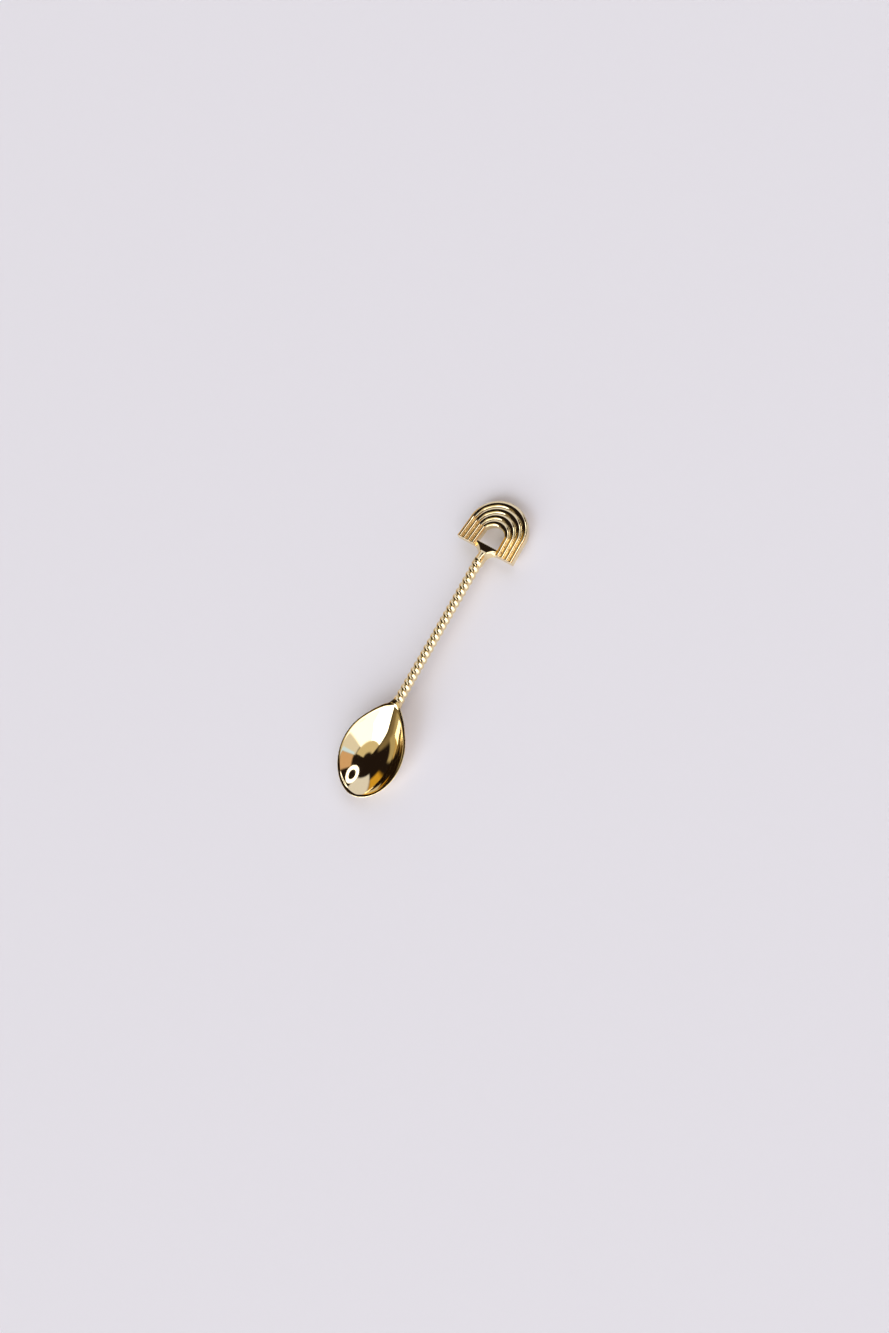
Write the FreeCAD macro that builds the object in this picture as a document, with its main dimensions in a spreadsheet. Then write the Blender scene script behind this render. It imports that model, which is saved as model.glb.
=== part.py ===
import FreeCAD, Part
import math
import os
import Sketcher
from FreeCAD import Placement, Rotation, Vector

# A cast brass spoon in one piece. Its bowl is an egg-shaped dish, its stem is a rope of two
# strands, and its head is an arch of four rounded ridges round a D-shaped window.
# It is drawn in three frames that follow the handle (bowl, stem and arch), each falling away
# from the stem, and the whole then lies as it rests: on the bowl's belly and the arch's tip.
# All lengths are millimetres and all angles degrees. +Y runs from the bowl to the arch.

# A sketch's own codes: for a curve's points, and for its two axes.
START, END, CENTRE = range(1, 4)
X_AXIS, Y_AXIS = range(-1, -3, -1)
ORIGIN = (X_AXIS, START)
FLAT = 1e-4
EDGE_SLACK = 0.01

SIZES = {
    # The bowl, from the stem's end and from the plane of its rim.
    "bowl_reach": 37.45,
    "bowl_depth": 6.98,
    "bowl_wall": 0.85,
    "keel_radius": 24.5,
    "shoulder_slope": 24.5,
    "dish_axis_height": 8.0,
    "rim_lap": 3.0,
    "rim_bevel": 0.2,
    "rim_rise": 1.2,
    "bowl_fall": 10.0,

    # The neck, a taper of round sections that runs from the stem under the dish's narrow end.
    "root_radius": 2.0,
    "root_reach": 0.6,
    "waist_reach": 3.0,
    "waist_width": 6.6,
    "waist_thickness": 3.2,
    "waist_drop": 1.6,
    "toe_reach": 8.0,
    "toe_width": 5.0,
    "toe_thickness": 2.2,
    "toe_drop": 2.6,

    # The stem, a rope of two round strands that overlap on its axis.
    "stem_length": 59.7,
    "strand_radius": 1.5,
    "strand_offset": 0.42,
    "rope_lead": 4.7,
    "neck_seat": 0.1,
    "flare_seat": 0.1,

    # The flare, a wedge whose sides curve out from the stem to the arch's legs.
    "foot_reach": 4.45,
    "flare_lap": 0.4,
    "base_half_width": 1.9,
    "base_run": 0.9,
    "base_curve": 3.55,
    "crown_half_width": 0.6,
    "crown_run": 1.5,
    "crown_curve": 4.4,
    "crown_height": 1.45,
    "throat_reach": 0.5,
    "throat_radius": 1.98,
    "throat_run": 3.0,
    "throat_width": 3.8,
    "throat_thickness": 2.4,

    # The arch, four ridges on a plate, open in the middle.
    "arch_fall": 8.0,
    "back_drop": 1.3,
    "plate_thickness": 2.8,
    "window_half_width": 4.5,
    "sill_reach": 6.4,
    "leg_length": 7.5,
    "leg_splay": 3.5,
    "ridge_width": 1.88,
    "crown_ridge_width": 2.49,
    "ridge_height": 0.6,
}
RIDGES = 4

doc = FreeCAD.newDocument("spoon")
sheet = doc.addObject("Spreadsheet::Sheet", "Sizes")
for row, (name, amount) in enumerate(SIZES.items(), start=1):
    sheet.set("A%d" % row, name)
    sheet.set("B%d" % row, str(amount))
    sheet.setAlias("B%d" % row, name)
doc.recompute()


def value(name):
    """A driving dimension as a number."""
    return float(sheet.get(name))


def plane(body, role):
    """One of a body's own origin planes."""
    for feature in body.Origin.OriginFeatures:
        if feature.Role == role:
            return feature
    raise ValueError(role)


def sketch_on(body, name, role, offset="0"):
    """A new sketch on an origin plane, moved along the plane's normal by an expression."""
    sketch = body.newObject("Sketcher::SketchObject", name)
    sketch.AttachmentSupport = [(plane(body, role), "")]
    sketch.MapMode = "FlatFace"
    sketch.setExpression(".AttachmentOffset.Base.z", offset)
    return sketch


def rule(sketch, kind, *places):
    sketch.addConstraint(Sketcher.Constraint(kind, *places))


def number(sketch, expression):
    return float(sketch.evalExpression(expression))


def measure(sketch, kind, name, expression, *places):
    """A dimension of a sketch that follows the sheet."""
    index = sketch.addConstraint(Sketcher.Constraint(kind, *places, number(sketch, expression)))
    sketch.renameConstraint(index, name)
    sketch.setExpression("Constraints." + name, expression)


def segment(sketch, start, end):
    return sketch.addGeometry(Part.LineSegment(Vector(*start), Vector(*end)))


# Bowl: a dish turned about an axis that lies above it, along its length. Every crosswise
# section is then an arc about that axis, and the rim's outline follows from the keel's line:
# an arc under the belly, and a straight slope from there up to the stem.
MIDDLE = ("(Sizes.bowl_reach - sqrt(Sizes.keel_radius ^ 2"
          " - (Sizes.keel_radius - Sizes.bowl_depth) ^ 2))")
CLEAR_OF_DISH = "2 * (Sizes.keel_radius + Sizes.bowl_reach)"
# How far the shoulder's line runs back from the keel's middle before it meets the rim's plane,
# and what that leaves open between the dish and the stem's end, for the neck to bridge.
HEEL = ("((Sizes.keel_radius * (1 - cos(Sizes.shoulder_slope * 1deg))"
        " + Sizes.bowl_depth * cos(Sizes.shoulder_slope * 1deg)) / sin(Sizes.shoulder_slope * 1deg))")
NECK_GAP = "max(0; %s - %s)" % (MIDDLE, HEEL)


def keel_middle():
    """Where the keel is deepest, as its distance from the stem's end."""
    radius = value("keel_radius")
    return value("bowl_reach") - math.sqrt(radius ** 2 - (radius - value("bowl_depth")) ** 2)


def keel_sketch(body, name, radius):
    """What lies between the keel's line and a chord past the rim, the line drawn at a radius.
    It is drawn on the far side of the dish's axis, so that the turned face closes up there."""
    sketch = sketch_on(body, name, "YZ_Plane")
    sketch.setExpression(".AttachmentOffset.Base.y", "Sizes.dish_axis_height")
    turned = number(sketch, radius)
    slope = math.radians(value("shoulder_slope"))
    height = value("dish_axis_height") - value("rim_lap")
    middle = Vector(-keel_middle(), value("dish_axis_height") + value("bowl_depth") - value("keel_radius"), 0)
    tip = Vector(middle.x - math.sqrt(turned ** 2 - (middle.y - height) ** 2), height, 0)
    highest = Vector(middle.x, middle.y + turned, 0)
    bend = Vector(middle.x + turned * math.sin(slope), middle.y + turned * math.cos(slope), 0)
    end = Vector(bend.x + (bend.y - height) / math.tan(slope), height, 0)
    arc = sketch.addGeometry(Part.Arc(bend, highest, tip))
    shoulder = sketch.addGeometry(Part.LineSegment(bend, end))
    chord = sketch.addGeometry(Part.LineSegment(tip, end))
    rule(sketch, "Tangent", arc, START, shoulder, START)
    rule(sketch, "Coincident", shoulder, END, chord, END)
    rule(sketch, "Coincident", arc, END, chord, START)
    rule(sketch, "Horizontal", chord)
    measure(sketch, "Radius", "turned", radius, arc)
    measure(sketch, "DistanceX", "middle", MIDDLE, arc, CENTRE, *ORIGIN)
    measure(sketch, "DistanceX", "bend", "(%s) * sin(Sizes.shoulder_slope * 1deg)" % radius,
            arc, CENTRE, shoulder, START)
    measure(sketch, "DistanceY", "centre_depth",
            "Sizes.keel_radius - Sizes.bowl_depth - Sizes.dish_axis_height", arc, CENTRE, *ORIGIN)
    measure(sketch, "DistanceY", "chord_height", "Sizes.dish_axis_height - Sizes.rim_lap",
            *ORIGIN, chord, START)
    return sketch


def turn(body, kind, name, sketch):
    feature = body.newObject(kind, name)
    feature.Profile = sketch
    feature.ReferenceAxis = (sketch, ["H_Axis"])
    feature.Angle = 360
    body.Tip = feature
    return feature


def round_sketch(body, name, along, radius, drop):
    """An upright round section, where the neck or the throat takes over from the stem."""
    sketch = sketch_on(body, name, "XZ_Plane", along)
    circle = sketch.addGeometry(Part.Circle(Vector(0, -number(sketch, drop), 0), Vector(0, 0, 1),
                                            number(sketch, radius)))
    rule(sketch, "PointOnObject", circle, CENTRE, Y_AXIS)
    measure(sketch, "Radius", "radius", radius, circle)
    measure(sketch, "DistanceY", "drop", drop, circle, CENTRE, *ORIGIN)
    return sketch


def oval_sketch(body, name, along, width, thickness, drop):
    """An upright oval section, a distance along -Y and a drop below the frame's origin."""
    sketch = sketch_on(body, name, "XZ_Plane", along)
    middle = Vector(0, -number(sketch, drop), 0)
    side = middle + Vector(number(sketch, width) / 2, 0, 0)
    top = middle + Vector(0, number(sketch, thickness) / 2, 0)
    oval = sketch.addGeometry(Part.Ellipse(side, top, middle))
    sketch.exposeInternalGeometry(oval)
    long_way = oval + 1
    short_way = oval + 2
    rule(sketch, "Horizontal", long_way)
    rule(sketch, "PointOnObject", oval, CENTRE, Y_AXIS)
    measure(sketch, "DistanceY", "drop", drop, oval, CENTRE, *ORIGIN)
    measure(sketch, "Distance", "width", width, long_way)
    measure(sketch, "Distance", "thickness", thickness, short_way)
    return sketch


def edges_at_height(shape, height):
    """The names of a shape's edges that lie wholly at one height."""
    found = []
    for index, edge in enumerate(shape.Edges, start=1):
        box = edge.BoundBox
        if abs(box.ZMin - height) < FLAT and abs(box.ZMax - height) < FLAT:
            found.append("Edge%d" % index)
    return found


def make_bowl():
    body = doc.addObject("PartDesign::Body", "Bowl")
    outside = keel_sketch(body, "DishOutside", "Sizes.keel_radius")
    turn(body, "PartDesign::Revolution", "Dish", outside)
    above = sketch_on(body, "AboveRim", "XY_Plane")
    reach = number(above, CLEAR_OF_DISH)
    disc = above.addGeometry(Part.Circle(Vector(0, 0, 0), Vector(0, 0, 1), reach))
    rule(above, "Coincident", disc, CENTRE, *ORIGIN)
    measure(above, "Radius", "clear_of_dish", CLEAR_OF_DISH, disc)
    rim = body.newObject("PartDesign::Pocket", "RimPlane")
    rim.Profile = above
    rim.Type = "ThroughAll"
    rim.Reversed = True
    body.Tip = rim
    inside = keel_sketch(body, "DishInside", "Sizes.keel_radius - Sizes.bowl_wall")
    hollow = turn(body, "PartDesign::Groove", "Hollow", inside)
    doc.recompute()
    bevel = body.newObject("PartDesign::Chamfer", "RimBevel")
    bevel.Base = (hollow, edges_at_height(hollow.Shape, 0.0))
    bevel.setExpression("Size", "Sizes.rim_bevel")
    body.Tip = bevel
    root = round_sketch(body, "Root", "-Sizes.root_reach", "Sizes.root_radius",
                        "Sizes.rim_rise + Sizes.root_reach * tan(Sizes.bowl_fall * 1deg)")
    ovals = []
    for part in ("waist", "toe"):
        ovals.append(oval_sketch(body, part.title(), "Sizes.%s_reach + %s" % (part, NECK_GAP),
                                 "Sizes.%s_width" % part, "Sizes.%s_thickness" % part,
                                 "Sizes.%s_drop" % part))
    neck = body.newObject("PartDesign::AdditiveLoft", "Neck")
    neck.Profile = root
    neck.Sections = ovals
    # Its faces aren't merged with the dish's, which at some sizes leaves the union unsound.
    neck.Refine = False
    body.Tip = neck
    turn(body, "PartDesign::Groove", "Scoop", inside)
    return body


# Stem: the strands' faces wind round each other, each one running from groove to groove.
STEPS_ROUND = 14
STEPS_ACROSS = 7
TURNS_IN_FACE = 2


def strand_reach(angle):
    """How far the rope's outline stands from its axis, at an angle from a strand's crest."""
    aside = value("strand_offset") * math.sin(angle)
    return value("strand_offset") * math.cos(angle) + math.sqrt(value("strand_radius") ** 2 - aside ** 2)


def strand_face(strand, first_turn):
    """Some turns of one strand. The rope is laid left-handed, so its grooves fall to the right."""
    rows = []
    for i in range(TURNS_IN_FACE * STEPS_ROUND + 1):
        turned = first_turn + i / STEPS_ROUND
        azimuth = 2 * math.pi * turned
        row = []
        for j in range(STEPS_ACROSS + 1):
            across = j / STEPS_ACROSS - 0.5
            reach = strand_reach(math.pi * across)
            along = value("rope_lead") * (turned + across / 2 + strand / 2)
            row.append(Vector(reach * math.cos(azimuth), along, reach * math.sin(azimuth)))
        rows.append(row)
    surface = Part.BSplineSurface()
    surface.interpolate(rows)
    return surface.toShape()


def end_face(shell, along):
    """The flat end that closes the rope where it was cut off."""
    rim = []
    for edge in shell.Edges:
        box = edge.BoundBox
        if abs(box.YMin - along) < EDGE_SLACK and abs(box.YMax - along) < EDGE_SLACK:
            rim.append(edge)
    return Part.Face(Part.Wire(Part.__sortEdges__(rim)))


def make_stem():
    start = -value("neck_seat")
    end = value("stem_length") + value("flare_seat")
    lead = value("rope_lead")
    first = math.floor(start / lead) - 2
    last = math.ceil(end / lead) + 1
    starts = range(first, last, TURNS_IN_FACE)
    faces = [strand_face(strand, first_turn) for strand in (0, 1) for first_turn in starts]
    rope = Part.Compound(faces)
    rope.sewShape(FLAT)
    wide = 4 * (value("strand_radius") + value("strand_offset"))
    span = Part.makeBox(wide, end - start, wide, Vector(-wide / 2, start, -wide / 2))
    rope = rope.common(span)
    shell = Part.Compound(rope.Faces + [end_face(rope, start), end_face(rope, end)])
    shell.sewShape(FLAT)
    solid = Part.Solid(shell.Shells[0])
    if solid.Volume < 0:
        solid.reverse()
    stem = doc.addObject("Part::Feature", "Stem")
    stem.Shape = solid
    return stem


# Arch: the ridged section sweeps over the window and widens towards the crown, and below it
# each leg runs straight down to a square-cut foot.
def ridge_sketch(body, name, role, offset, sign, inner, width):
    """The section through the plate and its ridges, from the window's side outwards."""
    sketch = sketch_on(body, name, role, offset)
    back = -value("back_drop")
    valley = back + value("plate_thickness")
    crest = valley + value("ridge_height")
    step = number(sketch, width)
    near = number(sketch, inner)
    far = near + RIDGES * step
    inside = segment(sketch, (sign * near, back), (sign * near, valley))
    arcs = []
    for i in range(RIDGES):
        left = near + step * i
        arcs.append(sketch.addGeometry(Part.Arc(
            Vector(sign * left, valley, 0), Vector(sign * (left + step / 2), crest, 0),
            Vector(sign * (left + step), valley, 0))))
    outside = segment(sketch, (sign * far, valley), (sign * far, back))
    under = segment(sketch, (sign * far, back), (sign * near, back))
    # An arc that turns clockwise is stored with its ends swapped.
    first, second = (END, START) if sign > 0 else (START, END)
    rule(sketch, "Coincident", inside, END, arcs[0], first)
    for before, after in zip(arcs, arcs[1:]):
        rule(sketch, "Coincident", before, second, after, first)
        rule(sketch, "Horizontal", before, first, before, second)
        rule(sketch, "Equal", before, after)
    rule(sketch, "Horizontal", arcs[-1], first, arcs[-1], second)
    rule(sketch, "Coincident", arcs[-1], second, outside, START)
    rule(sketch, "Coincident", outside, END, under, START)
    rule(sketch, "Coincident", under, END, inside, START)
    rule(sketch, "Vertical", inside)
    rule(sketch, "Vertical", outside)
    rule(sketch, "Horizontal", under)
    measure(sketch, "DistanceY", "back", "Sizes.back_drop", under, END, *ORIGIN)
    measure(sketch, "DistanceY", "plate", "Sizes.plate_thickness", inside, START, inside, END)
    ends = (arcs[0], first, arcs[0], second) if sign > 0 else (arcs[0], second, arcs[0], first)
    measure(sketch, "DistanceX", "ridge", width, *ends)
    edge = (*ORIGIN, inside, START) if sign > 0 else (inside, START, *ORIGIN)
    measure(sketch, "DistanceX", "inner", inner, *edge)
    measure(sketch, "Radius", "round",
            "((%s) ^ 2 / 4 + Sizes.ridge_height ^ 2) / (2 * Sizes.ridge_height)" % width, arcs[0])
    return sketch


SPLAY = "tan(Sizes.leg_splay * 1deg)"
SPRING_INNER = "Sizes.window_half_width - Sizes.leg_length * " + SPLAY
SPRING_HEIGHT = "Sizes.foot_reach + Sizes.leg_length"
BAND_MIDDLE = "(%s + %d * Sizes.ridge_width)" % (SPRING_INNER, RIDGES // 2)
BAND_RADIUS = "%s / cos(Sizes.leg_splay * 1deg)" % BAND_MIDDLE
CROWN_INNER = "(%s - %s * %s + %s - %d * Sizes.crown_ridge_width)" % (
    SPRING_HEIGHT, BAND_MIDDLE, SPLAY, BAND_RADIUS, RIDGES // 2)


def path_sketch(body):
    """The middle of the band, from springing to crown to springing, square to the legs."""
    sketch = sketch_on(body, "BandPath", "XY_Plane")
    radius = number(sketch, BAND_RADIUS)
    half = number(sketch, BAND_MIDDLE)
    spring = number(sketch, SPRING_HEIGHT)
    centre = spring - math.sqrt(radius ** 2 - half ** 2)
    diagonal = radius * math.sqrt(0.5)
    crown = Vector(0, centre + radius, 0)
    left = sketch.addGeometry(Part.Arc(Vector(-half, spring, 0),
                                       Vector(-diagonal, centre + diagonal, 0), crown))
    right = sketch.addGeometry(Part.Arc(crown, Vector(diagonal, centre + diagonal, 0),
                                        Vector(half, spring, 0)))
    # Both arcs are stored anticlockwise, so each starts at its right-hand end.
    rule(sketch, "Coincident", left, START, right, END)
    rule(sketch, "Coincident", left, CENTRE, right, CENTRE)
    rule(sketch, "PointOnObject", left, CENTRE, Y_AXIS)
    rule(sketch, "PointOnObject", left, START, Y_AXIS)
    rule(sketch, "Horizontal", left, END, right, START)
    measure(sketch, "Radius", "band_radius", BAND_RADIUS, left)
    measure(sketch, "DistanceY", "spring_height", SPRING_HEIGHT, *ORIGIN, right, START)
    measure(sketch, "DistanceX", "spring_half", BAND_MIDDLE, *ORIGIN, right, START)
    return sketch


def leg_pad(body, sketch, name, sideways):
    """A straight leg below the springing, leaning outwards to its foot."""
    pad = body.newObject("PartDesign::Pad", name)
    pad.Profile = sketch
    pad.UseCustomVector = True
    pad.Direction = Vector(sideways * math.tan(math.radians(value("leg_splay"))), -1, 0)
    pad.AlongSketchNormal = True
    pad.setExpression("Length", "Sizes.leg_length")
    body.Tip = pad
    return pad


def flare_sketch(body, name, height, kind):
    """The flare's outline at one height: from the stem, out round two curves, up to the sill."""
    sketch = sketch_on(body, name, "XY_Plane", height)
    half = value(kind + "_half_width")
    lap = value("flare_lap")
    run = value(kind + "_run")
    curve = value(kind + "_curve")
    sill = value("sill_reach")
    wide = half + curve
    bend = curve * (1 - math.sqrt(0.5))
    start = segment(sketch, (-half, -lap), (half, -lap))
    right_side = segment(sketch, (half, -lap), (half, run))
    right_curve = sketch.addGeometry(Part.Arc(
        Vector(half, run, 0), Vector(half + bend, run + curve - bend, 0), Vector(wide, run + curve, 0)))
    right_top = segment(sketch, (wide, run + curve), (wide, sill))
    top = segment(sketch, (wide, sill), (-wide, sill))
    left_top = segment(sketch, (-wide, sill), (-wide, run + curve))
    left_curve = sketch.addGeometry(Part.Arc(
        Vector(-wide, run + curve, 0), Vector(-half - bend, run + curve - bend, 0), Vector(-half, run, 0)))
    left_side = segment(sketch, (-half, run), (-half, -lap))
    # The curves turn clockwise, so each is stored with its ends swapped.
    rule(sketch, "Coincident", start, END, right_side, START)
    rule(sketch, "Tangent", right_side, END, right_curve, END)
    rule(sketch, "Coincident", right_curve, START, right_top, START)
    rule(sketch, "Coincident", right_top, END, top, START)
    rule(sketch, "Coincident", top, END, left_top, START)
    rule(sketch, "Coincident", left_top, END, left_curve, END)
    rule(sketch, "Tangent", left_curve, START, left_side, START)
    rule(sketch, "Coincident", left_side, END, start, START)
    rule(sketch, "Horizontal", top)
    rule(sketch, "Vertical", right_side)
    rule(sketch, "Vertical", right_top)
    rule(sketch, "Vertical", left_top)
    rule(sketch, "Vertical", left_side)
    rule(sketch, "Symmetric", start, START, start, END, Y_AXIS)
    rule(sketch, "Symmetric", right_curve, START, left_curve, END, Y_AXIS)
    rule(sketch, "Equal", right_curve, left_curve)
    measure(sketch, "DistanceX", "root", "2 * Sizes.%s_half_width" % kind, start, START, start, END)
    measure(sketch, "DistanceY", "lap", "Sizes.flare_lap", start, START, *ORIGIN)
    measure(sketch, "Radius", "curve", "Sizes.%s_curve" % kind, right_curve)
    measure(sketch, "DistanceY", "run", "Sizes.%s_run" % kind, *ORIGIN, right_side, END)
    measure(sketch, "DistanceX", "reach", "Sizes.%s_curve" % kind, right_side, END, right_curve, START)
    measure(sketch, "DistanceY", "sill", "Sizes.sill_reach", *ORIGIN, top, START)
    return sketch


def make_arch():
    body = doc.addObject("PartDesign::Body", "Arch")
    spring = "-(" + SPRING_HEIGHT + ")"
    left = ridge_sketch(body, "LeftSpring", "XZ_Plane", spring, -1, SPRING_INNER, "Sizes.ridge_width")
    right = ridge_sketch(body, "RightSpring", "XZ_Plane", spring, 1, SPRING_INNER, "Sizes.ridge_width")
    crown = ridge_sketch(body, "Crown", "YZ_Plane", "0", 1, CROWN_INNER, "Sizes.crown_ridge_width")
    path = path_sketch(body)
    band = body.newObject("PartDesign::AdditivePipe", "Band")
    band.Profile = left
    band.Spine = (path, [])
    band.Transformation = "Multisection"
    band.Sections = [(crown, [""]), (right, [""])]
    body.Tip = band
    doc.recompute()
    leg_pad(body, left, "LeftLeg", -1)
    leg_pad(body, right, "RightLeg", 1)
    base = flare_sketch(body, "FlareBase", "-Sizes.back_drop", "base")
    crest = flare_sketch(body, "FlareCrown", "Sizes.crown_height", "crown")
    flare = body.newObject("PartDesign::AdditiveLoft", "Flare")
    flare.Profile = base
    flare.Sections = [crest]
    body.Tip = flare
    collar = round_sketch(body, "Collar", "Sizes.throat_reach", "Sizes.throat_radius", "0")
    oval = oval_sketch(body, "ThroatEnd", "-Sizes.throat_run", "Sizes.throat_width",
                       "Sizes.throat_thickness", "0")
    throat = body.newObject("PartDesign::AdditiveLoft", "Throat")
    throat.Profile = collar
    throat.Sections = [oval]
    body.Tip = throat
    return body


def place(body, along, rise, fall):
    """Stand a body's frame on the stem's axis, falling away from the stem."""
    body.Placement = Placement(Vector(0, number(body, along), number(body, rise)),
                               Rotation(Vector(1, 0, 0), number(body, fall)))
    body.setExpression(".Placement.Base.y", along)
    body.setExpression(".Placement.Base.z", rise)
    body.setExpression(".Placement.Rotation.Angle", "(%s) * 1deg" % fall)


def rest_angle(bowl, arch):
    """How far the stem falls towards the arch when belly and tip lie on one level."""
    belly = bowl.Placement.multVec(Vector(0, -keel_middle(), value("keel_radius") - value("bowl_depth")))
    crown = sum(number(arch, text) for text in (CROWN_INNER, "%d * Sizes.crown_ridge_width" % RIDGES))
    tip = arch.Placement.multVec(Vector(0, crown, -value("back_drop")))
    span = math.hypot(tip.y - belly.y, belly.z - tip.z)
    lean = math.asin(value("keel_radius") / span)
    return math.degrees(lean - math.atan2(belly.z - tip.z, tip.y - belly.y))


def check():
    for item in doc.Objects:
        if "Invalid" in item.State or "Error" in item.State:
            raise RuntimeError("%s failed: %s" % (item.Name, item.getStatusString()))
        shape = getattr(item, "Shape", None)
        if isinstance(shape, Part.Shape) and (shape.isNull() or not shape.isValid()):
            raise RuntimeError("%s has no sound shape" % item.Name)


bowl = make_bowl()
place(bowl, "0", "Sizes.rim_rise", "Sizes.bowl_fall")
stem = make_stem()
arch = make_arch()
place(arch, "Sizes.stem_length", "0", "-Sizes.arch_fall")
joined = doc.addObject("Part::MultiFuse", "Joined")
joined.Shapes = [bowl, stem, arch]
doc.recompute()

spoon = doc.addObject("Part::Feature", "Spoon")
spoon.Shape = joined.Shape
turned = Placement(Vector(), Rotation(Vector(1, 0, 0), -rest_angle(bowl, arch)))
spoon.Placement = turned
box = spoon.Shape.optimalBoundingBox(False, False)
turned.Base = Vector(0, -(box.YMin + box.YMax) / 2, -box.ZMin)
spoon.Placement = turned
doc.recompute()
check()
if len(spoon.Shape.Solids) != 1:
    raise RuntimeError("the spoon is in %d solids" % len(spoon.Shape.Solids))
os.makedirs("parts", exist_ok=True)
spoon.Shape.exportStep("parts/spoon.step")
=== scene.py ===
import math

import bpy
import numpy as np
from mathutils import Matrix, Vector

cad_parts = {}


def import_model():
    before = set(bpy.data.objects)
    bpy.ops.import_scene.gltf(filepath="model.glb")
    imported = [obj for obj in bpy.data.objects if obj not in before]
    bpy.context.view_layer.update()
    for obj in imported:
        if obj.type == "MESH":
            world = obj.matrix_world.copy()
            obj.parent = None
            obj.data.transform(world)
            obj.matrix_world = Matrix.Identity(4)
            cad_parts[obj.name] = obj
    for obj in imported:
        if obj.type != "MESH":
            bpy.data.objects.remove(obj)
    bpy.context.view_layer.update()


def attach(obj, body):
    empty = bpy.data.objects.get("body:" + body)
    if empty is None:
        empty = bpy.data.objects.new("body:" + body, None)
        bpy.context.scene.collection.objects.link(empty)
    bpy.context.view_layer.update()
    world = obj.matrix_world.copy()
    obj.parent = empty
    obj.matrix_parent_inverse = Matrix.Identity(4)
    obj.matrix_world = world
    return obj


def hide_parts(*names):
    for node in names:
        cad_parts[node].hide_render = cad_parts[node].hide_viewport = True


# The brass spoon as one smooth casting. Its form is a distance-like function of a point that is
# negative inside the metal. It is meshed on a grid, each vertex is moved onto the surface, and its
# normal is the function's own slope. Lengths are in millimetres in the stem's frame: y runs along
# the stem from the bowl to the arch, and z points up out of the bowl.

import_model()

MM_PER_METRE = 1000.0

# The stem's frame as it lies at rest: it falls towards the arch, and starts here in the row frame.
STEM_FALL = math.radians(2.651)
STEM_START = np.array([0.0, -23.339, 8.525])

BOWL_FALL = math.radians(10.0)
RIM_RISE = 1.2
KEEL_RADIUS = 24.5
KEEL_MIDDLE = 20.324
BOWL_DEPTH = 6.98
BOWL_WALL = 0.85
SHOULDER_SLOPE = math.radians(24.5)
DISH_AXIS = 8.0
RIM_ROUND = 0.35
HOLLOW_ROUND = 0.45

# The neck's oval sections, by how far back from the stem's start they stand.
NECK_WIDTH_STATIONS = (-1.5, 0.5, 3.2, 8.0)
NECK_HALF_WIDTHS = (1.9, 2.0, 3.3, 2.5)
NECK_STATIONS = (-1.5, 0.5, 3.0, 8.0)
NECK_HALF_HEIGHTS = (1.9, 1.95, 1.6, 1.1)
NECK_MIDDLES = (-1.35, -1.25, -1.6, -2.6)
NECK_FRONT = -1.2
NECK_BACK = 8.5
NECK_END_ROUND = 0.3
NECK_FILLET = 1.0

STEM_LENGTH = 59.7
STRAND_RADIUS = 1.5
STRAND_OFFSET = 0.42
ROPE_LEAD = 4.7
END_SWELL = 0.06
SWELL_LIMIT = 1.2
ROPE_FRONT = -0.2
ROPE_OVERLAP = 0.6
STRAND_FILLET = 0.08
ROPE_END_ROUND = 0.1

ARCH_FALL = math.radians(8.0)
BACK = -1.3

# The flare: its half width, straight run and corner radius at the back and at its flat top.
FLARE_BASE = (1.9, 0.9, 3.55)
FLARE_CROWN = (0.7, 1.3, 4.4)
FLARE_TOP = 1.45
FLARE_FRONT = -1.2
FLARE_EDGE_ROUND = 0.25
FLARE_END_ROUND = 0.12
SILL = 6.4

THROAT_RADIUS = 1.95
THROAT_TAPER = 0.12
TAPER_START = -0.5
TAPER_LENGTH = 9.0
THROAT_FRONT = -0.6
THROAT_BACK = 3.2
THROAT_END_ROUND = 0.2
THROAT_FILLET = 0.6

# The ridged arch. A crest stands outward of its ridge's middle, at this share of the width.
VALLEY = 1.5
VALLEY_FILL = 0.06
VALLEY_ROUND = 0.1
RIDGE_HEIGHT = 0.6
RIDGES = 4
CREST = 0.6
RIDGE_WIDTH = 1.88
CROWN_RIDGE_WIDTH = 2.49
FOOT = 4.45
LEG = 7.5
SPLAY = math.tan(math.radians(3.5))
WINDOW_HALF = 4.5
LEG_END_ROUND = 0.2
BACK_ROUND = 0.35
TOP_ROUND = 0.15
FLARE_FILLET = 0.2

# A slanted face's field is scaled down by this, so that it stays near a true distance.
SLANT = 0.8
OVAL_SLANT = 0.9

# The value well away from the metal, the step by which a slope is measured, and the number of
# grid lines across y that are worked out at a time.
FAR = 9.0
SLOPE_STEP = 0.02
SLAB = 40

# The grid's stops as (position, spacing up to the next one), and how its points are fitted.
GRID_X = ((-13.2, 0.25), (-2.4, 0.18), (2.4, 0.25), (13.2, 0.0))
GRID_Y = ((-39.6, 0.35), (-6.0, 0.22), (0.0, 0.19), (61.0, 0.2), (85.0, 0.0))
GRID_Z = ((-11.4, 0.3), (-6.0, 0.2), (2.8, 0.0))
FITTING_ROUNDS = 4
LONGEST_MOVE = 0.12
LEAST_SLOPE_SQUARED = 0.05


def smooth_min(a, b, reach):
    """The lower of two fields, with the corner where they meet filled in over a reach."""
    mix = np.clip(0.5 + 0.5 * (b - a) / reach, 0.0, 1.0)
    return b + (a - b) * mix - reach * mix * (1.0 - mix)


def smooth_max(a, b, reach):
    """The higher of two fields, with the edge where they meet rounded over a reach."""
    return -smooth_min(-a, -b, reach)


def turned(y, z, angle):
    """y and z in a frame that is tipped up by an angle about X."""
    return y * math.cos(angle) + z * math.sin(angle), z * math.cos(angle) - y * math.sin(angle)


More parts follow.
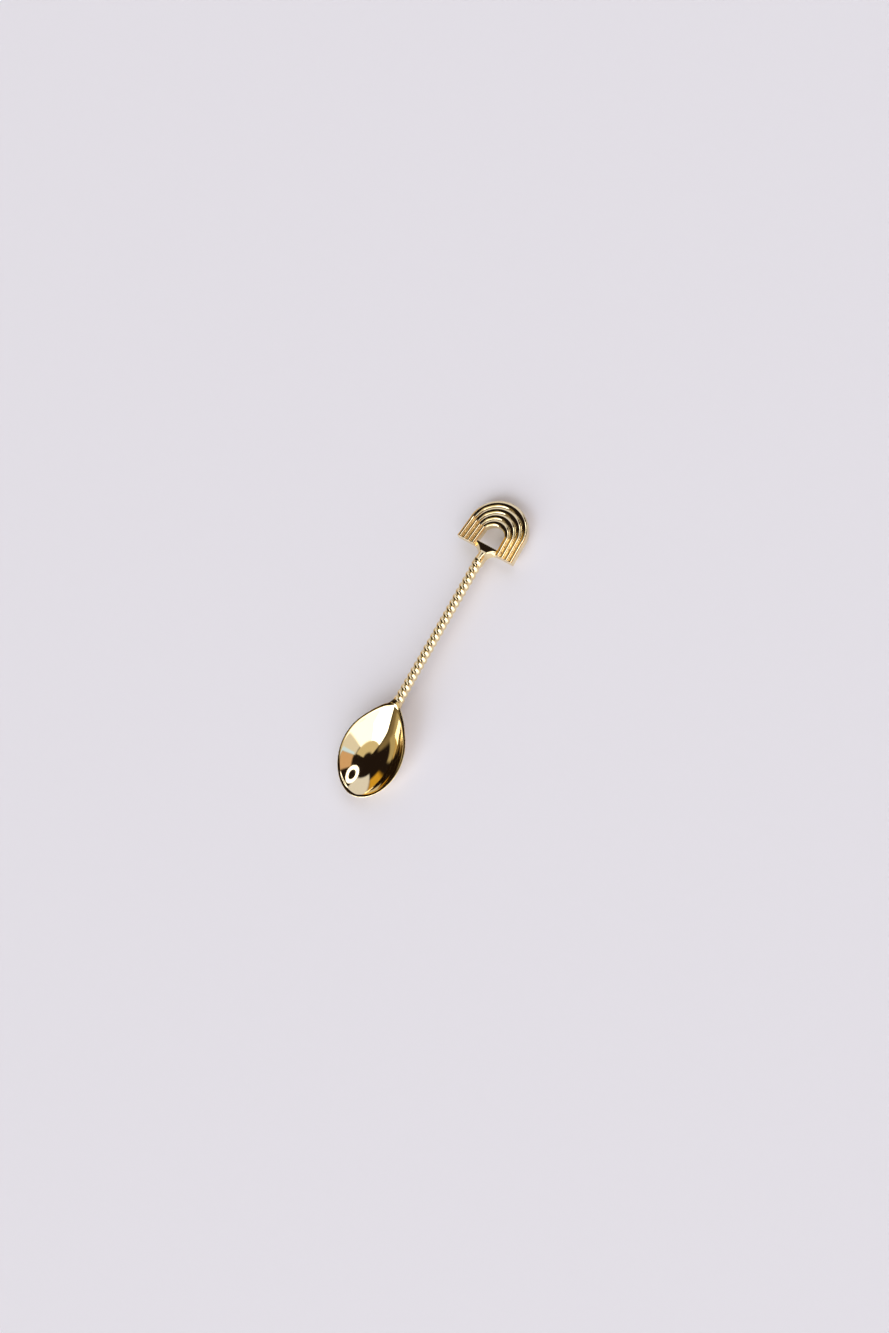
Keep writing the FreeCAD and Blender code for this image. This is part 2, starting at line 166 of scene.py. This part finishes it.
def along(x, knots, values):
    """A smooth curve through a few values, level at each of them."""
    result = np.full_like(x, values[0])
    for a, b, p, q in zip(knots, knots[1:], values, values[1:]):
        t = np.clip((x - a) / (b - a), 0.0, 1.0)
        result = result + (q - p) * t * t * (3.0 - 2.0 * t)
    return result


def dish(x, y, z):
    """The outer and the inner surface of the bowl: an arc and a straight shoulder, turned."""
    out = np.sqrt(x ** 2 + (z - DISH_AXIS) ** 2) + KEEL_RADIUS - BOWL_DEPTH - DISH_AXIS
    back = y + KEEL_MIDDLE
    belly = np.sqrt(back ** 2 + out ** 2)
    shoulder = back * math.sin(SHOULDER_SLOPE) + out * math.cos(SHOULDER_SLOPE)
    reach = np.where(back > out * math.tan(SHOULDER_SLOPE), shoulder, belly)
    return reach - KEEL_RADIUS, reach - (KEEL_RADIUS - BOWL_WALL)


def neck(x, y, z):
    """The oval root that runs from the stem under the dish's narrow end."""
    back = -y
    half = along(back, NECK_WIDTH_STATIONS, NECK_HALF_WIDTHS)
    thick = along(back, NECK_STATIONS, NECK_HALF_HEIGHTS)
    middle = along(back, NECK_STATIONS, NECK_MIDDLES)
    across = np.sqrt((x / half) ** 2 + ((z - middle) / thick) ** 2)
    shape = (across - 1.0) * np.minimum(half, thick) * OVAL_SLANT
    return smooth_max(shape, np.maximum(back - NECK_BACK, NECK_FRONT - back), NECK_END_ROUND)


def bowl(x, y, z):
    """The bowl with its neck."""
    y, z = turned(y, z - RIM_RISE, BOWL_FALL)
    outer, inner = dish(x, y, z)
    rim = smooth_max(outer, z, RIM_ROUND)
    metal = smooth_min(rim, neck(x, y, z), NECK_FILLET)
    return smooth_max(metal, -inner, HOLLOW_ROUND)


def rope(x, y, z):
    """Two strands that wind round each other, a little stouter at both ends."""
    angle = 2.0 * math.pi * y / ROPE_LEAD
    from_middle = np.clip(np.abs(y / STEM_LENGTH * 2.0 - 1.0), 0.0, SWELL_LIMIT)
    stout = 1.0 + END_SWELL * from_middle ** 3
    offset = STRAND_OFFSET * stout
    radius = STRAND_RADIUS * stout
    cx = offset * np.cos(angle)
    cz = offset * np.sin(angle)
    one = np.sqrt((x - cx) ** 2 + (z - cz) ** 2) - radius
    two = np.sqrt((x + cx) ** 2 + (z + cz) ** 2) - radius
    strands = smooth_min(one, two, STRAND_FILLET)
    ends = np.maximum(ROPE_FRONT - y, y - STEM_LENGTH - ROPE_OVERLAP)
    return smooth_max(strands, ends, ROPE_END_ROUND)


def outline_half(y, half, run, curve):
    """Half the flare's width at a height along it: straight, then a quarter round outwards."""
    rise = np.clip(y - run, 0.0, curve)
    return half + curve - np.sqrt(curve ** 2 - rise ** 2)


def throat(x, y, z):
    """The short round taper by which the rope runs into the flare."""
    shape = np.sqrt(x ** 2 + z ** 2) - THROAT_RADIUS
    shape = shape + THROAT_TAPER * np.clip(y - TAPER_START, 0.0, TAPER_LENGTH)
    return smooth_max(shape, np.maximum(y - THROAT_BACK, THROAT_FRONT - y), THROAT_END_ROUND)


def flare(x, y, z):
    """The wedge from the stem to the arch's legs, wider at its back than at its flat top."""
    base = outline_half(y, *FLARE_BASE)
    crown = outline_half(y, *FLARE_CROWN)
    level = np.clip((z - BACK) / (FLARE_TOP - BACK), 0.0, 1.0)
    side = (np.abs(x) - base - (crown - base) * level) * SLANT
    shape = smooth_max(side, z - FLARE_TOP, FLARE_EDGE_ROUND)
    shape = smooth_max(shape, BACK - z, FLARE_EDGE_ROUND)
    shape = smooth_max(shape, np.maximum(y - SILL, FLARE_FRONT - y), FLARE_END_ROUND)
    return smooth_min(shape, throat(x, y, z), THROAT_FILLET)


def ridge_place(x, y):
    """How many ridges out from the window a point lies, and how wide a ridge is there."""
    spring = FOOT + LEG
    inner = WINDOW_HALF - LEG * SPLAY
    middle = inner + RIDGES / 2.0 * RIDGE_WIDTH
    radius = middle * math.sqrt(1.0 + SPLAY ** 2)
    centre = spring - middle * SPLAY
    wide = np.abs(x)
    leg = (wide - (WINDOW_HALF - (y - FOOT) * SPLAY)) / RIDGE_WIDTH
    angle = np.arctan2(y - centre, wide)
    first = math.atan(SPLAY)
    turn = np.clip((angle - first) / (math.pi / 2.0 - first), 0.0, 1.0)
    width = RIDGE_WIDTH + (CROWN_RIDGE_WIDTH - RIDGE_WIDTH) * (1.0 - (1.0 - turn) ** 2)
    curved = (np.sqrt(x ** 2 + (y - centre) ** 2) - radius) / width + RIDGES / 2.0
    above = y > spring
    return np.where(above, curved, leg), np.where(above, width, RIDGE_WIDTH)


def ridge_top(place, width):
    """The height of the ridged top: an arc over each ridge, with the valleys filled a little."""
    within = np.clip(place - np.clip(np.floor(place), 0, RIDGES - 1), 0.0, 1.0)
    share = np.where(within < CREST, (CREST - within) / CREST, (within - CREST) / (1.0 - CREST))
    off = share * width / 2.0
    radius = (width ** 2 / 4.0 + RIDGE_HEIGHT ** 2) / (2.0 * RIDGE_HEIGHT)
    top = VALLEY + RIDGE_HEIGHT - radius + np.sqrt(radius ** 2 - off ** 2)
    return smooth_max(top, VALLEY + VALLEY_FILL, VALLEY_ROUND)


def arch(x, y, z):
    """The ridged arch with the flare that carries it."""
    y, z = turned(y - STEM_LENGTH, z, -ARCH_FALL)
    place, width = ridge_place(x, y)
    sides = np.maximum(-place, place - RIDGES) * width
    band = smooth_max(sides, FOOT - y, LEG_END_ROUND)
    band = smooth_max(band, BACK - z, BACK_ROUND)
    band = smooth_max(band, (z - ridge_top(place, width)) * SLANT, TOP_ROUND)
    return smooth_min(band, flare(x, y, z), FLARE_FILLET)


# Each form, the stretch of y that it is worked out in, and the fillet by which it joins the last.
FORMS = (
    (bowl, -45.0, 6.0, 0.35),
    (rope, -1.0, 63.0, 0.35),
    (arch, 57.0, 90.0, 0.3),
)


def spoon(x, y, z):
    """The whole spoon's function. Far forms are skipped, since each joins only its neighbour."""
    x, y, z = np.broadcast_arrays(x, y, z)
    metal = np.full(x.shape, FAR)
    for form, start, end, fillet in FORMS:
        near = (y > start) & (y < end)
        if near.any():
            metal[near] = smooth_min(metal[near], form(x[near], y[near], z[near]), fillet)
    return metal


def slope(points):
    """The function's slope at each point, by small steps to both sides."""
    result = np.empty_like(points)
    for axis in range(3):
        move = np.zeros(3)
        move[axis] = SLOPE_STEP
        ahead = spoon(*(points + move).T)
        behind = spoon(*(points - move).T)
        result[:, axis] = (ahead - behind) / (2.0 * SLOPE_STEP)
    return result


def spaced(stops):
    """Grid lines between stops given as (position, spacing up to the next one)."""
    lines = []
    for (start, step), (end, _) in zip(stops, stops[1:]):
        count = max(1, round((end - start) / step))
        lines.extend(start + (end - start) * i / count for i in range(count))
    lines.append(stops[-1][0])
    return np.array(lines)


def sampled(grid):
    """The function's value at each grid point, a slab of y at a time to save memory."""
    xs, ys, zs = grid
    field = np.empty((len(xs), len(ys), len(zs)))
    for start in range(0, len(ys), SLAB):
        part = ys[start:start + SLAB]
        field[:, start:start + SLAB] = spoon(xs[:, None, None], part[None, :, None], zs[None, None, :])
    return field


def crossed_edges(field, grid, axis):
    """The grid edges along an axis that the surface crosses: their starts, where it crosses them,
    and whether they start inside the metal."""
    inside = field < 0.0
    starts = [slice(None)] * 3
    starts[axis] = slice(0, -1)
    ends = [slice(None)] * 3
    ends[axis] = slice(1, None)
    start = np.argwhere(inside[tuple(starts)] != inside[tuple(ends)])
    end = start.copy()
    end[:, axis] += 1
    first = field[tuple(start.T)]
    last = field[tuple(end.T)]
    share = first / (first - last)
    at = np.stack([grid[k][start[:, k]] for k in range(3)], axis=1)
    at[:, axis] += share * (grid[axis][end[:, axis]] - grid[axis][start[:, axis]])
    return start, at, first < 0.0


def cells_round(edges, axis):
    """The four grid cells that share each edge, in order round it."""
    first, second = [k for k in range(3) if k != axis]
    cells = []
    for one, other in ((0, 0), (1, 0), (1, 1), (0, 1)):
        cell = edges.copy()
        cell[:, first] -= one
        cell[:, second] -= other
        cells.append(cell)
    return cells


def surface(grid):
    """Vertices and quads where the function changes sign on a grid: one vertex to a cell."""
    field = sampled(grid)
    shape = tuple(size - 1 for size in field.shape)
    total = np.zeros(shape + (3,))
    count = np.zeros(shape)
    rounds = []
    for axis in range(3):
        edges, at, starts_inside = crossed_edges(field, grid, axis)
        cells = cells_round(edges, axis)
        for cell in cells:
            np.add.at(total, tuple(cell.T), at)
            np.add.at(count, tuple(cell.T), 1.0)
        # Round an edge along y the cells go the other way than round one along x or z.
        rounds.append((cells, starts_inside if axis == 1 else ~starts_inside))
    used = count > 0
    index = np.full(shape, -1)
    index[used] = np.arange(used.sum())
    quads = []
    for cells, backwards in rounds:
        loop = np.stack([index[tuple(cell.T)] for cell in cells], axis=1)
        loop[backwards] = loop[backwards][:, ::-1]
        quads.append(loop)
    return total[used] / count[used][:, None], np.concatenate(quads)


def fitted(points):
    """The points moved onto the surface along the function's slope."""
    for _ in range(FITTING_ROUNDS):
        steep = slope(points)
        length = np.maximum((steep ** 2).sum(axis=1), LEAST_SLOPE_SQUARED)
        move = (spoon(*points.T) / length)[:, None] * steep
        points = points - np.clip(move, -LONGEST_MOVE, LONGEST_MOVE)
    return points


def spoon_mesh():
    """The casting's mesh in the row frame, in metres."""
    points, quads = surface([spaced(stops) for stops in (GRID_X, GRID_Y, GRID_Z)])
    points = fitted(points)
    normals = slope(points)
    normals /= np.linalg.norm(normals, axis=1)[:, None]
    c = math.cos(-STEM_FALL)
    s = math.sin(-STEM_FALL)
    turn = np.array([[1.0, 0.0, 0.0], [0.0, c, -s], [0.0, s, c]])
    points = points @ turn.T + STEM_START
    normals = normals @ turn.T
    mesh = bpy.data.meshes.new("spoon_casting")
    mesh.from_pydata((points / MM_PER_METRE).tolist(), [], quads.tolist())
    mesh.polygons.foreach_set("use_smooth", [True] * len(mesh.polygons))
    mesh.normals_split_custom_set_from_vertices(normals.tolist())
    mesh.update()
    return mesh


BRASS = (0.86, 0.71, 0.44, 1.0)
POLISH = 0.06
GRAIN_SCALE = 1400.0
GRAIN_DETAIL = 2.0
GRAIN_STRENGTH = 0.03
GRAIN_HEIGHT = 0.0001


def brass():
    """Polished brass with the faint unevenness of a casting."""
    material = bpy.data.materials.new("polished_brass")
    material.use_nodes = True
    nodes = material.node_tree.nodes
    links = material.node_tree.links
    shader = nodes["Principled BSDF"]
    shader.inputs["Metallic"].default_value = 1.0
    shader.inputs["Base Color"].default_value = BRASS
    shader.inputs["Roughness"].default_value = POLISH
    place = nodes.new("ShaderNodeTexCoord")
    grain = nodes.new("ShaderNodeTexNoise")
    grain.inputs["Scale"].default_value = GRAIN_SCALE
    grain.inputs["Detail"].default_value = GRAIN_DETAIL
    links.new(place.outputs["Object"], grain.inputs["Vector"])
    bump = nodes.new("ShaderNodeBump")
    bump.inputs["Strength"].default_value = GRAIN_STRENGTH
    bump.inputs["Distance"].default_value = GRAIN_HEIGHT
    links.new(grain.outputs["Fac"], bump.inputs["Height"])
    links.new(bump.outputs["Normal"], shader.inputs["Normal"])
    return material


# Lengths on the stage and for the camera are in metres, as Blender takes them.
FLOOR_HALF = 2.0
FLOOR_COLOUR = (0.90, 0.89, 0.98, 1.0)
FLOOR_ROUGHNESS = 0.6


def floor():
    """A plain pale floor."""
    half = FLOOR_HALF
    corners = [(-half, -half, 0), (half, -half, 0), (half, half, 0), (-half, half, 0)]
    mesh = bpy.data.meshes.new("floor")
    mesh.from_pydata(corners, [], [(0, 1, 2, 3)])
    material = bpy.data.materials.new("floor")
    material.use_nodes = True
    shader = material.node_tree.nodes["Principled BSDF"]
    shader.inputs["Base Color"].default_value = FLOOR_COLOUR
    shader.inputs["Roughness"].default_value = FLOOR_ROUGHNESS
    mesh.materials.append(material)
    board = bpy.data.objects.new("floor", mesh)
    bpy.context.collection.objects.link(board)


# The studio is a dark tent with plain boards. Each has the azimuths between which it stands (0 at
# +X, 90 at +Y), its angles from the zenith, its edges' softness, its colour and its strength.
# A later board stands before the earlier ones. These angles are in degrees.
TENT = (0.016, 0.010, 0.008)
BOARDS = (
    ((224, 241), (30, 92), 6, (0.24, 0.18, 0.09), 1.0),
    ((192, 229), (64, 96), 4, (0.50, 0.41, 0.22), 1.0),
    ((149, 172), (52, 95), 5, (0.72, 0.40, 0.04), 1.0),
    ((89, 148), (36, 95), 3, (0.82, 0.83, 0.92), 1.0),
    ((7, 39), (42, 88), 3, (0.72, 0.46, 0.28), 1.0),
    ((245, 362), (13, 36), 3, (0.72, 0.62, 0.40), 1.0),
    ((334, 367), (38, 95), 3, (0.84, 0.82, 0.80), 1.0),
    ((1, 7), (42, 84), 1.5, (0.72, 1.00, 1.45), 1.0),
    ((245, 292), (35, 95), 1.5, (0.92, 0.97, 1.00), 3.6),
    ((288, 338), (35, 95), 3, (1.00, 0.98, 0.98), 2.0),
)

# The ring light: its middle's azimuth and angle from the zenith and its inner and outer radius in
# degrees, and its edges' softness in radians.
RING_PLACE = (67.3, 40.4)
RING_RADIUS = (10.2, 17.6)
RING_SOFTNESS = 0.02
RING_LIGHT = (3.0, 3.0, 3.0)

# What the camera sees past the floor's edge.
BACKDROP = (0.82, 0.81, 0.87)

# The mix node's sockets when it mixes colours.
SHARE, UNDER, OVER, MIXED = 0, 6, 7, 2


def give(tree, socket, item):
    """Gives a socket what comes out of another node, or a colour, or a number."""
    if isinstance(item, bpy.types.NodeSocket):
        tree.links.new(item, socket)
    elif isinstance(item, tuple):
        socket.default_value = (*item, 1.0)
    else:
        socket.default_value = item


def calculate(tree, operation, *items):
    """One step of arithmetic on sockets and numbers."""
    node = tree.nodes.new("ShaderNodeMath")
    node.operation = operation
    for socket, item in zip(node.inputs, items):
        give(tree, socket, item)
    return node.outputs[0]


def step(tree, angle, edge, soft, before, after):
    """A value that changes smoothly where an angle passes an edge."""
    node = tree.nodes.new("ShaderNodeMapRange")
    node.interpolation_type = "SMOOTHSTEP"
    give(tree, node.inputs["Value"], angle)
    give(tree, node.inputs["From Min"], edge - soft)
    give(tree, node.inputs["From Max"], edge + soft)
    give(tree, node.inputs["To Min"], before)
    give(tree, node.inputs["To Max"], after)
    return node.outputs["Result"]


def between(tree, angle, start, end, soft):
    """1 between two angles and 0 outside them."""
    rise = step(tree, angle, start, soft, 0.0, 1.0)
    fall = step(tree, angle, end, soft, 1.0, 0.0)
    return calculate(tree, "MULTIPLY", rise, fall)


def laid_over(tree, share, under, over):
    """One colour laid over another by a share of 0 to 1."""
    node = tree.nodes.new("ShaderNodeMix")
    node.data_type = "RGBA"
    give(tree, node.inputs[SHARE], share)
    give(tree, node.inputs[UNDER], under)
    give(tree, node.inputs[OVER], over)
    return node.outputs[MIXED]


def board_share(tree, azimuth, zenith, azimuths, zeniths, softness):
    """How much of a direction a board fills."""
    middle = math.radians(sum(azimuths) / 2.0)
    half = math.radians(azimuths[1] - azimuths[0]) / 2.0
    soft = math.radians(softness)
    aside = calculate(tree, "SUBTRACT", azimuth, middle)
    aside = calculate(tree, "WRAP", aside, math.pi, -math.pi)
    across = between(tree, aside, -half, half, soft)
    down = between(tree, zenith, math.radians(zeniths[0]), math.radians(zeniths[1]), soft)
    return calculate(tree, "MULTIPLY", across, down)


def ring_share(tree, direction):
    """How much of a direction the ring light fills."""
    turn, tip = (math.radians(angle) for angle in RING_PLACE)
    flat = math.sin(tip)
    aim = tree.nodes.new("ShaderNodeVectorMath")
    aim.operation = "DOT_PRODUCT"
    tree.links.new(direction, aim.inputs[0])
    aim.inputs[1].default_value = (flat * math.cos(turn), flat * math.sin(turn), math.cos(tip))
    off = calculate(tree, "ARCCOSINE", aim.outputs["Value"])
    inner, outer = (math.radians(angle) for angle in RING_RADIUS)
    return between(tree, off, inner, outer, RING_SOFTNESS)


def world():
    """Light from the boards all round, with a pale backdrop where the camera looks past the floor."""
    room = bpy.data.worlds.new("room")
    bpy.context.scene.world = room
    room.use_nodes = True
    tree = room.node_tree
    direction = tree.nodes.new("ShaderNodeTexCoord").outputs["Generated"]
    parts = tree.nodes.new("ShaderNodeSeparateXYZ")
    tree.links.new(direction, parts.inputs[0])
    zenith = calculate(tree, "ARCCOSINE", parts.outputs["Z"])
    azimuth = calculate(tree, "ARCTAN2", parts.outputs["Y"], parts.outputs["X"])
    light = TENT
    for azimuths, zeniths, softness, colour, strength in BOARDS:
        share = board_share(tree, azimuth, zenith, azimuths, zeniths, softness)
        light = laid_over(tree, share, light, tuple(part * strength for part in colour))
    light = laid_over(tree, ring_share(tree, direction), light, RING_LIGHT)
    path = tree.nodes.new("ShaderNodeLightPath")
    light = laid_over(tree, path.outputs["Is Camera Ray"], light, BACKDROP)
    tree.links.new(light, tree.nodes["Background"].inputs["Color"])


# The photo's view: how far the camera leans from straight above the stem, to the right and towards
# the arch, how far the stem is turned in the picture, the pixel on which its middle falls, and the
# width of one pixel at the spoon.
LEAN_RIGHT = math.radians(21.0)
LEAN_UP = math.radians(-2.0)
ROLL = math.radians(29.8)
IMAGE = (889.0, 1333.0)
STEM_MIDDLE_PIXEL = (437.6, 632.4)
PIXEL = 0.00036
LENS = 71.0
SENSOR = 36.0
NEAREST = 0.01
DISTANCE = 0.95


def camera():
    """The camera at the photo's angle, placed so that the stem's middle falls on its pixel."""
    lens_data = bpy.data.cameras.new("camera")
    lens_data.lens = LENS
    lens_data.sensor_width = SENSOR
    lens_data.sensor_fit = "AUTO"
    lens_data.clip_start = NEAREST
    view = bpy.data.objects.new("camera", lens_data)
    bpy.context.collection.objects.link(view)
    bpy.context.scene.camera = view
    stem = Vector((0.0, math.cos(STEM_FALL), -math.sin(STEM_FALL)))
    above = Vector((0.0, math.sin(STEM_FALL), math.cos(STEM_FALL)))
    side = Vector((1.0, 0.0, 0.0))
    towards = (side * math.tan(LEAN_RIGHT) + stem * math.tan(LEAN_UP) + above).normalized()
    flat = (stem - towards * stem.dot(towards)).normalized()
    up = Matrix.Rotation(ROLL, 3, towards) @ flat
    right = up.cross(towards)
    middle = Vector(STEM_START / MM_PER_METRE) + stem * (STEM_LENGTH / 2.0 / MM_PER_METRE)
    across = (IMAGE[0] / 2 - STEM_MIDDLE_PIXEL[0]) * PIXEL
    down = (IMAGE[1] / 2 - STEM_MIDDLE_PIXEL[1]) * PIXEL
    view.location = middle + right * across - up * down + towards * DISTANCE
    view.rotation_euler = Matrix((right, up, towards)).transposed().to_euler()


casting = bpy.data.objects.new("spoon_casting", spoon_mesh())
bpy.context.collection.objects.link(casting)
casting.data.materials.append(brass())
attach(casting, "root")
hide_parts("spoon")

world()
floor()
camera()
bpy.context.scene.view_settings.view_transform = "Standard"
